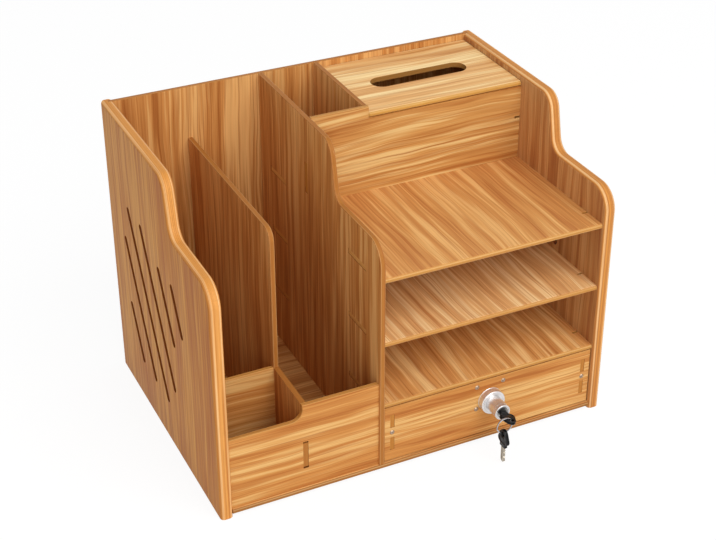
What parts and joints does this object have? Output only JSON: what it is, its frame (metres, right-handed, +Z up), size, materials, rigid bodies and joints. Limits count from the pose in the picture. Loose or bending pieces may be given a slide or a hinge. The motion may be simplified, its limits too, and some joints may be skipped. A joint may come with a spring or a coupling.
{
  "type": "desk organizer with drawer",
  "caption": "Stepped wooden desk organizer with file bays, open shelves, a pen bay, a tissue bay with a lift-off lid, and a locking drawer with its key and spare.",
  "frame": {"origin": "on the desk, in the middle of the box round the organizer and its keys", "axes": "+X to the right, the front faces -Y, +Z up"},
  "size_m": [0.48, 0.3876, 0.357],
  "materials": {
    "side_wood": "satin board with upright grain and rounded edges",
    "back_wood": "satin board with upright grain",
    "divider_wood": "satin board with upright grain",
    "shelf_wood": "satin board with grain from front to back",
    "front_wood": "satin board with level grain",
    "lid_wood": "satin board with level grain",
    "drawer_wood": "satin board with grain from front to back",
    "lock_chrome": "bright plated",
    "plug_metal": "turned metal",
    "screw_steel": "plated steel",
    "ring_steel": "bright wire",
    "key_metal": "plain nickel",
    "bow_plastic": "moulded black"
  },
  "bodies": {
    "cabinet": {"left_side_panel": "side_wood", "right_side_panel": "side_wood", "back_panel": "back_wood", "bottom_board": "shelf_wood", "centre_divider": "divider_wood", "file_divider": "divider_wood", "marker_bay_panel": "front_wood", "front_rail": "front_wood", "top_shelf": "shelf_wood", "middle_shelf": "shelf_wood", "lower_shelf": "shelf_wood", "riser_panel": "front_wood", "pen_bay_partition": "divider_wood", "lid_support": "front_wood"},
    "lid": {"tissue_lid": "lid_wood"},
    "drawer": {"drawer_front": "front_wood", "drawer_left_side": "drawer_wood", "drawer_right_side": "drawer_wood", "drawer_back": "drawer_wood", "drawer_bottom": "shelf_wood", "drawer_screws": "screw_steel", "lock_screws": "screw_steel", "lock_body": "lock_chrome", "lock_cover": "lock_chrome", "lock_collar": "lock_chrome"},
    "plug": {"lock_plug": "plug_metal"},
    "bolt": {"lock_bolt": "plug_metal"},
    "key": {"key_bow": "bow_plastic", "key_blade": "key_metal"},
    "ring": {"key_ring": "ring_steel"},
    "spare_key": {"spare_key_bow": "bow_plastic", "spare_key_blade": "key_metal"}
  },
  "joints": [
    {"name": "lid_lift", "type": "slide", "parent": "cabinet", "child": "lid", "axis": [0, 0, 1], "range_m": [0, 0.1]},
    {"name": "drawer_slide", "type": "slide", "parent": "cabinet", "child": "drawer", "axis": [0, -1, 0], "range_m": [0, 0.24]},
    {"name": "key_turn", "type": "hinge", "parent": "drawer", "child": "plug", "pos_m": [0.091, -0.13715, 0.055], "axis": [0, -1, 0], "range_deg": [0, 91]},
    {"name": "bolt_slide", "type": "slide", "parent": "drawer", "child": "bolt", "axis": [0, 0, 1], "range_m": [0, 0.007]},
    {"name": "key_pull", "type": "slide", "parent": "plug", "child": "key", "axis": [0, -1, 0], "range_m": [0, 0.03]},
    {"name": "ring_swing", "type": "hinge", "parent": "key", "child": "ring", "pos_m": [0.091, -0.18435, 0.055], "axis": [0, 1, 0], "range_deg": [0, 90]},
    {"name": "spare_swing", "type": "hinge", "parent": "ring", "child": "spare_key", "pos_m": [0.08333, -0.18435, 0.05131], "axis": [0, 1, 0], "range_deg": [-45, 90]}
  ],
  "couplings": [
    {"joint": "key_turn", "follows": "bolt_slide", "rad_per_m": 224.4}
  ]
}
